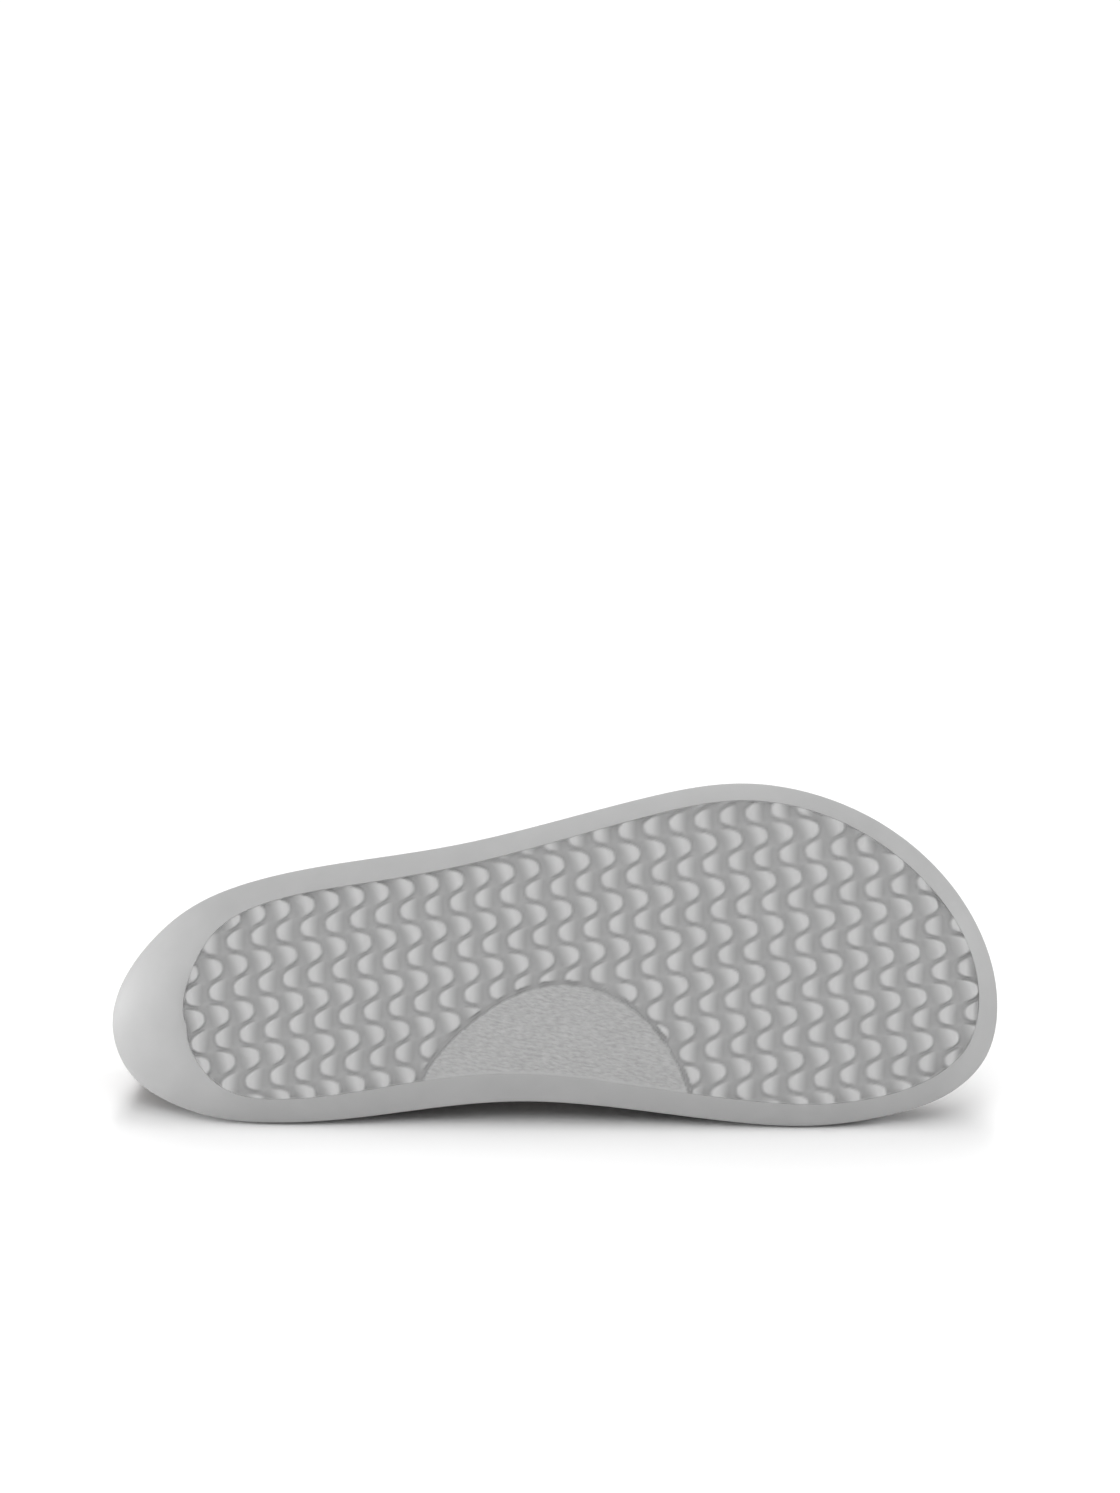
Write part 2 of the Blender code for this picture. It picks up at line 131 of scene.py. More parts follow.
soleChords = np.linalg.norm(np.roll(soleKeys, -1, axis=0) - soleKeys, axis=1)
solePerimeter = soleChords.sum()
soleKnots = np.concatenate([[0.0], np.cumsum(soleChords)[:-1]]) / solePerimeter


def outlineAt(turn):
    # the outline's plan point at each share of a turn
    return np.stack([closedSpline(soleKnots, soleKeys[:, i], turn) for i in (0, 1)], axis=1)


def edgeAt(turn):
    # plan point, inward direction (the tangent turned a quarter), the rim's sizes and its power,
    # which grows from bevel to heelRound as the band widens
    step = 1e-4
    tangent = outlineAt(turn + step) - outlineAt(turn - step)
    inward = np.stack([tangent[:, 1], -tangent[:, 0]], axis=1)
    inward /= np.linalg.norm(inward, axis=1, keepdims=True)
    band, rise, wallTop = (closedSpline(soleKnots, soleTable[:, i], turn) for i in (2, 3, 4))
    narrow, wide = sole["wideBand"]
    power = sole["bevel"] + (sole["heelRound"] - sole["bevel"]) * smooth((band - narrow) / (wide - narrow))
    return dict(plan=outlineAt(turn), inward=inward, band=band, rise=rise, wallTop=wallTop, power=power)


def ground(along):
    # flat tread, then a square curve up to the toe
    past = np.clip((along - sole["springStart"]) / (sole["length"] - sole["springStart"]), 0.0, None)
    return sole["spring"] * past**2


def ringAt(edge, inset, height):
    # the outline moved inwards by inset, at a height above the tread
    plan = edge["plan"] + edge["inward"] * np.broadcast_to(inset, len(edge["plan"]))[:, None]
    return np.column_stack([plan, ground(plan[:, 0]) + height])


def rimInset(edge, height):
    # superellipse from the tread up to the widest level, then a slight lean inwards
    power = edge["power"]
    below = np.clip(1.0 - height / edge["rise"], 0.0, 1.0)
    curve = edge["band"] * (1.0 - (1.0 - below**power) ** (1.0 / power))
    return curve + sole["draft"] * np.clip(height - edge["rise"], 0.0, None)


def cupInset(edge, height):
    # outer face plus the wall, which is thicker where the rim turns under
    below = np.clip(1.0 - height / edge["rise"], 0.0, 1.0)
    return rimInset(edge, height) + sole["wall"] * (1.0 + below)


def besideCup(edge, height, thickness):
    # the cup's face moved in by a thickness square to its slope, measured level
    slope = cupInset(edge, height) - cupInset(edge, height + 1.0)
    return cupInset(edge, height) + thickness * np.sqrt(1.0 + slope**2)


def towardSpine(ring, share):
    # the ring drawn towards the middle line of the foot
    spineAlong, spineAcross = np.array(sole["spine"]).T
    along = np.clip(ring[:, 0], spineAlong[0], spineAlong[-1])
    spine = np.stack([along, np.interp(along, spineAlong, spineAcross)], axis=1)
    plan = share * ring[:, :2] + (1.0 - share) * spine
    return np.column_stack([plan, ground(plan[:, 0]) + ring[:, 2] - ground(ring[:, 0])])


def loopFaces(first, second):
    # quads between two closed rows of vertex numbers
    return np.stack([first, np.roll(first, -1), np.roll(second, -1), second], axis=1)


def sixVolumes(points, quads, others):
    # six times the volume inside: the triple product of each triangle that the faces fan into
    corners = points[quads]
    total = 0.0
    for k in (1, 2):
        total += np.sum(corners[:, 0] * np.cross(corners[:, k], corners[:, k + 1]))
    for face in others:
        ring = points[list(face)]
        total += np.sum(np.cross(ring[1:-1], ring[2:]) @ ring[0])
    return total


def makePiece(name, points, quads, others=(), attributes=None):
    # one mesh in floor coordinates, pressed flat where it touches; faces are turned outwards by
    # the sign of its volume
    world = layOnFloor(points)
    world[:, 2] = np.maximum(world[:, 2], 0.0)
    order = 1 if sixVolumes(world, quads, others) > 0.0 else -1
    faces = quads[:, ::order].tolist() + [tuple(f)[::order] for f in others]
    mesh = bpy.data.meshes.new(name)
    mesh.from_pydata(world.tolist(), [], faces)
    for key, values in (attributes or {}).items():
        layer = mesh.attributes.new(key, "FLOAT", "POINT")
        layer.data.foreach_set("value", np.asarray(values, dtype=np.float32))
    mesh.shade_smooth()
    piece = bpy.data.objects.new(name, mesh)
    bpy.context.scene.collection.objects.link(piece)
    print("shoe:", name, len(faces), "faces")
    return piece


# Tread: rows of half moons whose round ends face the heel and the toe in turn; where two values
# stand, they are for these in this order. Each top is level behind its round end, then slopes down
# to the floor. The rows fan a little: stretch and bulge change the pitch, bend and fan the rows,
# all per square millimetre from the middle. strip is a low ridge between the rows, patch half the
# width that a height is averaged over, edge the width of the climb to the rim.
tread = dict(
    middle=(130.0, 45.0), pitch=7.485, pitchTurn=8.82, pitchStart=-0.21, stretch=-1.6e-5, bulge=6.6e-5,
    row=6.738, rowTurn=9.32, rowStart=0.038, bend=-1.55e-5, fan=-3.6e-5,
    tip=(0.045, 0.09), curve=(0.56, 0.63), wall=(0.22, 0.14), flatEnd=(0.415, 0.36), rampEnd=(0.84, 0.87),
    wider=0.035, slant=0.15, strip=0.08, stripStart=0.65, patch=0.12, depth=1.5, edge=0.45,
)
# Arch panel: a low arch in the tread with a channel round it. sway draws its round line in and out by
# the third and fourth multiple of the angle, edge is the width of its slope up to the rim.
panel = dict(
    centre=(130.5, 0.0), radius=40.8, sway=(-0.95, 0.7),
    channel=1.35, channelDepth=1.5, depth=0.3, soft=0.2, edge=1.1,
)


def treadLattice(along, across):
    # pitches ahead of the middle and rows down from it, each a slope across the sole plus slight bends
    x, y = along - tread["middle"][0], across - tread["middle"][1]
    a, b = np.radians(tread["pitchTurn"]), np.radians(tread["rowTurn"])
    ahead = tread["pitchStart"] + (x * np.cos(a) + y * np.sin(a)) / tread["pitch"]
    ahead = ahead + tread["stretch"] * x * x + tread["bulge"] * y * y
    down = tread["rowStart"] + (x * np.sin(b) - y * np.cos(b)) / tread["row"]
    down = down + tread["bend"] * x * x + tread["fan"] * x * y
    return ahead, down


def halfMoons(along, across):
    # height from 0 on the floor to 1: a ramp by the distance behind each tip, inside a cubic curve
    # from tip to corners
    ahead, down = treadLattice(along, across)
    down = down + tread["wider"] * (1.0 - np.cos(np.pi * down)) / 2.0
    row = np.floor(down)
    v = 2.0 * (down - row) - 1.0
    toToe = row % 2 != 0
    keys = ("tip", "curve", "wall", "flatEnd", "rampEnd")
    tip, curve, wall, flatEnd, rampEnd = (np.where(toToe, tread[key][1], tread[key][0]) for key in keys)
    behind = np.mod(np.where(toToe, -ahead, ahead) - tip, 1.0)
    inside = smooth((behind - curve * np.abs(v) ** 3) / wall)
    back = behind + tread["slant"] * v * tread["row"] / tread["pitch"] / 2.0
    ramp = 1.0 - np.clip((back - flatEnd) / (rampEnd - flatEnd), 0.0, 1.0)
    strip = smooth((np.abs(v) - tread["stripStart"]) / (1.0 - tread["stripStart"]))
    return np.maximum(inside * ramp, tread["strip"] * strip)


def treadRelief(along, across, fromRim):
    # share of the full height over the tread: half moons averaged over a small patch, the panel and
    # its channel, then the climb to the rim; the shares of panel and rim come with it
    offsets = (-tread["patch"], tread["patch"])
    height = sum(halfMoons(along + dx, across + dy) for dx in offsets for dy in offsets) / len(offsets) ** 2
    x, y = along - panel["centre"][0], across - panel["centre"][1]
    angle = np.arctan2(y, x)
    line = panel["radius"] + panel["sway"][0] * np.cos(3.0 * angle) + panel["sway"][1] * np.cos(4.0 * angle)
    r, half = np.hypot(x, y) - line, panel["channel"] / 2.0
    channel = 1.0 - panel["channelDepth"] / tread["depth"]
    height = channel + (height - channel) * stepUp(r - half, panel["soft"])
    inside = stepUp(-r - half, panel["soft"])
    height = height + (1.0 - panel["depth"] / tread["depth"] - height) * inside
    rimShare = 1.0 - smooth(fromRim / (tread["edge"] + (panel["edge"] - tread["edge"]) * inside))
    return height + (1.0 - height) * rimShare, inside * (1.0 - rimShare), rimShare


# Outsole grid: columns along the tread and points across it. Next to the rim the points stand at
# nearRim millimetres, or nearShare of the width where that is less. Round the heel the border is
# averaged over heelBlur columns, fully up to the first share of a turn in heelEven, less up to the second.
outsoleGrid = dict(
    columns=490, across=156, nearRim=(0.0, 0.22, 0.45), nearShare=(0.0, 0.05, 0.1), blocks=40,
    heelBlur=16, heelEven=(0.036, 0.096),
    rimStart=0.03, rimSteps=10, topSteps=4, cupSteps=3, floorShares=(0.6, 0.1),
)


def distanceTo(points, ring):
    # nearest point of the ring, doubled up by its midpoints, to each point, a block at a time
    ring = np.concatenate([ring, (ring + np.roll(ring, -1, axis=0)) / 2.0])
    blocks = np.array_split(points, outsoleGrid["blocks"])
    return np.concatenate([np.sqrt(((b[:, None] - ring[None]) ** 2).sum(axis=2).min(axis=1)) for b in blocks])


def treadBorder(edge, turn):
    # the outline moved in by the band, evened out round the back of the heel by a bell-shaped average
    border = edge["plan"] + edge["inward"] * edge["band"][:, None]
    blur = outsoleGrid["heelBlur"]
    steps = np.arange(-3 * blur, 3 * blur + 1)
    weights = np.exp(-0.5 * (steps / blur) ** 2)
    even = sum(w * np.roll(border, k, axis=0) for k, w in zip(steps, weights)) / weights.sum()
    whole, none = outsoleGrid["heelEven"]
    heel = smooth((none - np.minimum(turn, 1.0 - turn)) / (none - whole))
    return border + (even - border) * heel[:, None]


def treadField(rim):
    # plan points on straight lines from the arch-side border to the outer one, a column at a time
    count, wide = outsoleGrid["columns"], outsoleGrid["across"]
    outer = rim[:count]
    inner = np.concatenate([rim[:1], rim[: count - 2 : -1]])
    reach = np.maximum(np.linalg.norm(outer - inner, axis=1, keepdims=True), 1e-6)
    near = np.minimum(np.array(outsoleGrid["nearRim"]) / reach, outsoleGrid["nearShare"])
    even = np.linspace(0.0, 1.0, wide - 2 * (near.shape[1] - 1))[None]
    middle = near[:, -1:] + (1.0 - 2.0 * near[:, -1:]) * even
    share = np.concatenate([near[:, :-1], middle, 1.0 - near[:, -2::-1]], axis=1)[..., None]
    return (inner[:, None] * (1.0 - share) + outer[:, None] * share).reshape(-1, 2)


def outsoleRings(edge, rim):
    # rings over the rim (a superellipse by its angle), the side, its rounded top, the cup and its floor
    quarter = np.pi / 2.0
    power = 2.0 / edge["power"]
    angles = np.linspace(0.0, quarter, outsoleGrid["rimSteps"] + 1)
    angles[0] = outsoleGrid["rimStart"]
    rings = []
    for angle in angles:
        plan = edge["plan"] + (rim - edge["plan"]) * (1.0 - np.sin(angle) ** power)[:, None]
        climb = edge["rise"] * (1.0 - np.cos(angle) ** power)
        rings.append(np.column_stack([plan, ground(plan[:, 0]) + climb]))
    top, bead = edge["wallTop"], sole["edgeRound"]
    middle = (edge["rise"] + top) / 2.0
    rings.append(ringAt(edge, rimInset(edge, middle), middle))
    for angle in np.linspace(0.0, quarter, outsoleGrid["topSteps"]):
        inset = rimInset(edge, top) + bead * (1.0 - np.cos(angle))
        rings.append(ringAt(edge, inset, top - bead * (1.0 - np.sin(angle))))
    for drop in np.linspace(0.0, 1.0, outsoleGrid["cupSteps"]):
        height = top + (sole["floor"] - top) * drop
        rings.append(ringAt(edge, cupInset(edge, height), height))
    return rings + [towardSpine(rings[-1], share) for share in outsoleGrid["floorShares"]]


def outsolePiece():
    # the tread as a field of quads with a fan at heel and toe, then the rings and a face in the cup's floor
    count, wide = outsoleGrid["columns"], outsoleGrid["across"]
    toe = soleKnots[list(sole["rows"]).index("toeTip")]
    share = np.linspace(0.0, 1.0, count)
    turn = np.concatenate([toe * share, (1.0 - (1.0 - toe) * share)[-2:0:-1]])
    edge = edgeAt(turn)
    rim = treadBorder(edge, turn)
    flat = treadField(rim)
    relief, inPanel, smoothArea = treadRelief(flat[:, 0], flat[:, 1], distanceTo(flat, rim))
    field = np.column_stack([flat, ground(flat[:, 0]) + tread["depth"] * (1.0 - relief)])
    rings = outsoleRings(edge, rim)

    number = np.arange(count * wide).reshape(count, wide)
    number[0], number[-1] = number[0, 0], number[-1, 0]
    around = len(turn)
    start = count * wide
    border = np.concatenate([number[:, -1], number[-2:0:-1, 0]])
    rows = [border] + [start + k * around + np.arange(around) for k in range(len(rings))]
    body = number[1:-1]
    quads = np.concatenate(
        [np.stack([body[:-1, :-1], body[1:, :-1], body[1:, 1:], body[:-1, 1:]], axis=-1).reshape(-1, 4)]
        + [loopFaces(b, a) for a, b in zip(rows[:-1], rows[1:])]
    )
    heelFan = [(number[0, 0], number[1, k], number[1, k + 1]) for k in range(wide - 1)]
    toeFan = [(number[-1, 0], number[-2, k + 1], number[-2, k]) for k in range(wide - 1)]
    points = np.concatenate([field] + rings)
    rest = len(points) - start
    # relief also sets the rubber's tone: the darker floors are painted shade
    attributes = dict(
        relief=np.concatenate([relief, np.ones(rest)]),
        panelGrain=np.concatenate([inPanel, np.zeros(rest)]),
        smoothArea=np.concatenate([smoothArea, np.ones(rest)]),
    )
    return makePiece("rubber_outsole", points, quads, heelFan + toeFan + [rows[-1].tolist()], attributes)


# Upper: topline place (shares of length, ball width and instep height), then shoulder (how
# far the wall first rises straight), crown and drop (how it comes over to the topline).
upper = dict(
    instep=61.5, gap=0.35, leather=1.8,
    rows=dict(
        heelBack=(0.030, 0.320, 0.975, 14.0, 0.05, 14.0),
        heelOuter=(0.125, 0.590, 0.910, 14.0, 0.12, 15.0),
        waistOuter=(0.292, 0.645, 0.790, 15.0, 0.20, 13.0),
        shankOuter=(0.380, 0.650, 0.810, 16.0, 0.26, 13.0),
        ballOuterBack=(0.530, 0.605, 0.915, 18.0, 0.40, 12.0),
        ballOuter=(0.572, 0.565, 0.965, 18.0, 0.46, 12.0),
        toeOuterBack=(0.598, 0.510, 0.988, 18.0, 0.52, 17.0),
        toeOuter=(0.607, 0.465, 0.996, 19.0, 0.56, 20.0),
        toeTip=(0.610, 0.405, 1.000, 20.0, 0.58, 22.0),
        bigToe=(0.605, 0.345, 0.998, 21.0, 0.54, 19.0),
        ballInner=(0.580, 0.285, 0.985, 24.0, 0.42, 12.0),
        archFront=(0.485, 0.210, 0.925, 20.0, 0.30, 12.0),
        arch=(0.378, 0.160, 0.840, 17.0, 0.20, 13.0),
        heelInnerFront=(0.255, 0.115, 0.800, 15.0, 0.15, 14.0),
        heelInnerBack=(0.120, 0.120, 0.910, 14.0, 0.12, 15.0),
        heelCornerInner=(0.046, 0.220, 0.965, 14.0, 0.08, 14.0),
    ),
    around=440, cupRows=4, wallRows=84, edgeRows=7, liningRows=40,
    fold=6.0, foldRise=0.35, overlap=0.5, backStrip=8.0, seamSlope=0.9, edgeRoll=0.8,
    seams=(0.222, 0.772),  # where vamp and quarters meet, as shares of a turn
    raised=(12.0, 20.0),  # heights between which fold, seams and strip come up out of the sole
    burnishReach=14.0, burnishFoot=12.0, burnishTop=0.6, burnishLow=0.8, burnishEdge=0.8,
)
# Flex creases over the ball, each with its along at the middle, slant, depth and half width. They bow
# back at the sides and fade between the two heights and the two distances from the middle. On either
# side stands a ridge, whose height is a share of the trough's depth, ridgeAt half widths out.
creases = dict(
    lines=((196.0, 0.10, 0.45, 2.6), (187.0, 0.04, 0.55, 2.9), (178.5, -0.02, 0.35, 2.4)),
    middle=48.0, bow=0.004, heights=(24.0, 36.0), sides=(20.0, 34.0), ridge=0.45, ridgeAt=1.7,
)
upperTable = np.array(list(upper["rows"].values()))
upperKnots = soleKnots[[list(sole["rows"]).index(key) for key in upper["rows"]]]


def upperColumns(turn):
    # each column of the table, in millimetres where it is a share, as a closed cubic round the shoe
    scale = (sole["length"], sole["ballWidth"], upper["instep"], 1.0, 1.0, 1.0)
    return [closedSpline(upperKnots, upperTable[:, i] * scale[i], turn) for i in range(len(scale))]


def upperWall(turn):
    # rows inside the cup, then a cubic from the sole's edge to the topline with a straight start and
    # a set arrival
    edge = edgeAt(turn)
    low, high = sole["floor"] + upper["gap"], edge["wallTop"]
    heights = [low + (high - low) * k for k in np.linspace(0.0, 1.0, upper["cupRows"])]
    *rows, foot = (ringAt(edge, besideCup(edge, height, upper["gap"]), height) for height in heights)
    along, across, height, shoulder, crown, drop = upperColumns(turn)
    top = np.column_stack([along, across, height])
    upright, level = np.array([0.0, 0.0, 1.0]), np.array([1.0, 1.0, 0.0])
    first = foot + shoulder[:, None] * upright
    last = top + crown[:, None] * (foot - top) * level - drop[:, None] * upright
    t = np.linspace(0.0, 1.0, upper["wallRows"])[:, None, None]
    s = 1.0 - t
    wall = s**3 * foot + 3.0 * s**2 * t * first + 3.0 * s * t**2 * last + t**3 * top
    return np.concatenate([np.stack(rows), wall])


def gridNormals(grid):
    # cross product of the steps round and up, pointing out of the shoe
    sideways = np.roll(grid, -1, axis=1) - np.roll(grid, 1, axis=1)
    upward = np.gradient(grid, axis=0)
    normal = np.cross(sideways, upward)
    normal /= np.linalg.norm(normal, axis=2, keepdims=True)
    middle = grid.mean(axis=(0, 1))
    return normal * np.sign(np.sum(normal * (grid - middle)))


def belowTop(grid):
    # distance down the wall from the topline
    steps = np.linalg.norm(np.diff(grid, axis=0), axis=2)
    return np.concatenate([np.cumsum(steps[::-1], axis=0)[::-1], np.zeros((1, grid.shape[1]))])


def leatherLift(grid, turn):
    # how far the leather stands from the plain wall: in from it but on the folded edge, the vamp and
    # the back strip; then the creases, as a bell-shaped trough less a ridge on either side
    down, slope = belowTop(grid), upper["seamSlope"]
    fromBack = np.minimum(turn, 1.0 - turn) * solePerimeter
    pastOuter, pastInner = ((turn - seam) * solePerimeter for seam in upper["seams"])
    folded = stepUp(upper["fold"] - down, slope)
    vamp = stepUp(pastOuter, slope) * stepUp(-pastInner, slope)
    strip = stepUp(upper["backStrip"] - fromBack, slope)
    low, high = upper["raised"]
    lift = upper["foldRise"] * (folded - 1.0) + upper["overlap"] * (vamp + strip - 1.0)[None]
    lift = lift * smooth((grid[..., 2] - low) / (high - low))
    across = grid[..., 1] - creases["middle"]
    low, high = creases["heights"]
    near, far = creases["sides"]
    over = smooth((grid[..., 2] - low) / (high - low)) * smooth((far - np.abs(across)) / (far - near))
    for middle, slant, depth, half in creases["lines"]:
        off = (grid[..., 0] - middle - slant * across + creases["bow"] * across**2) / half
        ridge = creases["ridge"] * np.exp(-((np.abs(off) - creases["ridgeAt"]) ** 2))
        lift = lift - depth * over * (np.exp(-off**2) - ridge)
    return lift


def upperPiece():
    # outer face, rounded topline and lining as one closed wall; the lining is the plain face less
    # the thickness
    turn = np.arange(upper["around"]) / upper["around"]
    plain = upperWall(turn)
    normal = gridNormals(plain)
    outer = plain + normal * leatherLift(plain, turn)[..., None]
    inner = plain - normal * upper["leather"]
    topOut, topIn = outer[-1], inner[-1]
    rise = outer[-1] - outer[-3]
    rise /= np.linalg.norm(rise, axis=1, keepdims=True)
    middle, half = (topOut + topIn) / 2.0, (topOut - topIn) / 2.0
    crest = rise * np.linalg.norm(half, axis=1, keepdims=True) * upper["edgeRoll"]
    angles = np.linspace(0.0, np.pi, upper["edgeRows"] + 2)[1:-1]
    rolled = np.stack([middle + half * np.cos(a) + crest * np.sin(a) for a in angles])
    picked = np.linspace(len(inner) - 1, 0, upper["liningRows"]).round().astype(int)
    rows = np.concatenate([outer, rolled, inner[picked]])
    number = np.arange(rows.shape[0] * rows.shape[1]).reshape(rows.shape[:2])
    quads = np.concatenate([loopFaces(number[k], number[(k + 1) % len(number)]) for k in range(len(number))])
    nearTop = smooth(1.0 - belowTop(outer) / upper["burnishReach"])
    nearSole = smooth(1.0 - (outer[..., 2] - upper["burnishFoot"]) / upper["burnishReach"])
    burnish = np.concatenate([
        nearTop * upper["burnishTop"] + nearSole * upper["burnishLow"],
        np.full(rolled.shape[:2], upper["burnishEdge"]),
        np.zeros((len(picked), upper["around"])),
    ])
    piece = makePiece("leather_upper", rows.reshape(-1, 3), quads, (), dict(burnish=burnish.ravel()))
    lining = np.zeros(len(quads), dtype=np.int32)
    lining[(len(outer) + len(rolled)) * upper["around"]:] = 1
    piece.data.polygons.foreach_set("material_index", lining)
    return piece, outer, gridNormals(outer), turn


# Stitches: rows of short waxed thread, as long and thick as on a light shoe. taper is the share of
# the thread's radius at the ends, arch and sunk its middle's height and its ends' depth, in radii.
stitch = dict(
    length=2.7, pitch=3.5, thread=0.42, sections=5, sides=6, taper=0.55, arch=0.75, sunk=0.45,
    belowEdge=4.2, besideSeam=(2.2, 4.6), insideStrip=2.0, clearOfEdge=1.5, footRows=3,
)


def readAlong(run, values, at):
    # x, y and z of a path read at distances along it
    return np.stack([np.interp(at, run, values[:, i]) for i in range(3)], axis=1)


def stitchRow(path, normal):
    # places along a path at the stitch pitch: start, end and face normal of each stitch
    steps = np.linalg.norm(np.diff(path, axis=0), axis=1)
    run = np.concatenate([[0.0], np.cumsum(steps)])
    count = max(2, int(run[-1] / stitch["pitch"]))
    at = (np.arange(count) + 0.5) * run[-1] / count
    half = stitch["length"] / 2.0
    return readAlong(run, path, at - half), readAlong(run, path, at + half), readAlong(run, normal, at)


def stitchPiece(rows):
    # each stitch is a thin tube that dips into the leather at both ends; all are worked out as one array
    start, end, up = (np.concatenate([row[i] for row in rows]) for i in range(3))
    up /= np.linalg.norm(up, axis=1, keepdims=True)
    ahead = (end - start) / np.linalg.norm(end - start, axis=1, keepdims=True)
    side = np.cross(up, ahead)
    start, end, up, side = (v[:, None, None, :] for v in (start, end, up, side))
    t = np.linspace(0.0, 1.0, stitch["sections"])[None, :, None, None]
    angle = np.linspace(0.0, 2.0 * np.pi, stitch["sides"], endpoint=False)[None, None, :, None]
    bow = np.sin(np.pi * t)
    radius = stitch["thread"] * (stitch["taper"] + (1.0 - stitch["taper"]) * bow)
    points = start * (1.0 - t) + end * t + up * (stitch["thread"] * (stitch["arch"] * bow - stitch["sunk"]))
    points = points + radius * (np.cos(angle) * side + np.sin(angle) * up)
    number = np.arange(points[..., 0].size).reshape(points.shape[:3])
    after = np.roll(number, -1, axis=2)
    quads = np.stack([number[:, :-1], after[:, :-1], after[:, 1:], number[:, 1:]], axis=-1).reshape(-1, 4)
    ends = [tuple(n[0, ::-1]) for n in number] + [tuple(n[-1]) for n in number]
    return makePiece("waxed_stitches", points.reshape(-1, 3), quads, ends)


def stitchRows(outer, normal, turn):
    # one row under the topline, two beside each vamp seam, one inside each edge of the back strip
    down = belowTop(outer)
    loop = np.append(np.arange(len(turn)), 0)
    level = (down >= stitch["belowEdge"]).sum(axis=0)[loop] - 1
    under, over = down[level, loop], down[level + 1, loop]
    share = ((under - stitch["belowEdge"]) / (under - over))[:, None]
    path, facing = (
        grid[level, loop] * (1.0 - share) + grid[level + 1, loop] * share for grid in (outer, normal)
    )
    rows = [stitchRow(path, facing)]
    inStrip = upper["backStrip"] - stitch["insideStrip"]
    ways = zip(upper["seams"], (1.0, -1.0))
    lines = [(seam, way * offset) for seam, way in ways for offset in stitch["besideSeam"]]
    lines += [(0.0, inStrip), (0.0, -inStrip)]
    foot = upper["cupRows"] + stitch["footRows"]
    for seam, offset in lines:
        column = int(round((seam + offset / solePerimeter) % 1.0 * len(turn))) % len(turn)
        last = np.abs(down[:, column] - stitch["belowEdge"] - stitch["clearOfEdge"]).argmin()
        rows.append(stitchRow(outer[foot:last, column], normal[foot:last, column]))
    return rows


# Insole: inset is its play inside the upper, soft the rounding of its upper edge; the shares
# draw the rings of its two faces towards the middle line.
insole = dict(
    thickness=3.0, around=320, edgeRows=6, soft=1.1, inset=0.7,
    underShares=(0.1, 0.6), topShares=(0.95, 0.6, 0.3, 0.1),
)


def insolePiece():
    # flat footbed inside the upper with a rounded upper edge
    edge = edgeAt(np.arange(insole["around"]) / insole["around"])
    low = sole["floor"] + upper["gap"]
    high = low + insole["thickness"]
    clear = upper["gap"] * 2.0 + upper["leather"]
    rings = [ringAt(edge, besideCup(edge, low, clear), low)]
    for angle in np.linspace(0.0, np.pi / 2.0, insole["edgeRows"]):
        height = high - insole["soft"] * (1.0 - np.sin(angle))
        inset = besideCup(edge, height, clear) + insole["inset"] + insole["soft"] * (1.0 - np.cos(angle))
        rings.append(ringAt(edge, inset, height))
    under = [towardSpine(rings[0], share) for share in insole["underShares"]]
    rings = under + rings + [towardSpine(rings[-1], share) for share in insole["topShares"]]
    number = np.arange(len(rings) * insole["around"]).reshape(len(rings), -1)
    quads = np.concatenate([loopFaces(a, b) for a, b in zip(number[:-1], number[1:])])
    ends = [number[0, ::-1].tolist(), number[-1].tolist()]
    return makePiece("leather_insole", np.concatenate(rings), quads, ends)


def linear(hexColour):
    # sRGB hex to linear red, green, blue
    parts = np.array([int(hexColour[i:i + 2], 16) for i in (1, 3, 5)]) / 255.0
    parts = np.where(parts <= 0.04045, parts / 12.92, ((parts + 0.055) / 1.055) ** 2.4)
    return (*parts.tolist(), 1.0)


def addNode(tree, kind, inputs=None, **settings):
    # a node with its settings; an input is a value or another node's socket
    node = tree.nodes.new(kind)
    for key, value in settings.items():
        setattr(node, key, value)
    for key, value in (inputs or {}).items():
        if isinstance(value, bpy.types.NodeSocket):
            tree.links.new(value, node.inputs[key])
        else:
            node.inputs[key].default_value = value
    return node


def newMaterial(name):
    # an empty tree with a Principled shader on its output
    made = bpy.data.materials.new(name)
    made.use_nodes = True
    tree = made.node_tree
    tree.nodes.clear()
    shader = addNode(tree, "ShaderNodeBsdfPrincipled")
    addNode(tree, "ShaderNodeOutputMaterial", {"Surface": shader.outputs["BSDF"]})
    return made, tree, shader


# Rubber: grit, cloud and grain are sizes in millimetres, gritHeight and grainHeight the depth of
# their bump. Real grit is too fine to show, so it is drawn coarser. fleck and worn are how far
# streaks and clouds change the tone over the noise's range.
# floor is the tone of the tread's floors, darker than top: painted shade in the recesses, with the slopes
# between mixed by height.
rubberLook = dict(
    floor="#999999", top="#bababa", shadedChannel="#949494", rim="#a4a4a4", panel="#a4a4a4", grooveAt=-0.3,
    grit=0.6, gritHeight=0.15, gritBump=0.12, cloud=9.0,
    grainAlong=2.2, grainAcross=0.75, grainTurn=-8.0, grainHeight=0.5, grainBump=0.8,
    noise=(0.3, 0.7), fleck=(0.86, 1.14), worn=(0.97, 1.03), roughness=(0.49, 0.61), ior=1.52,
)


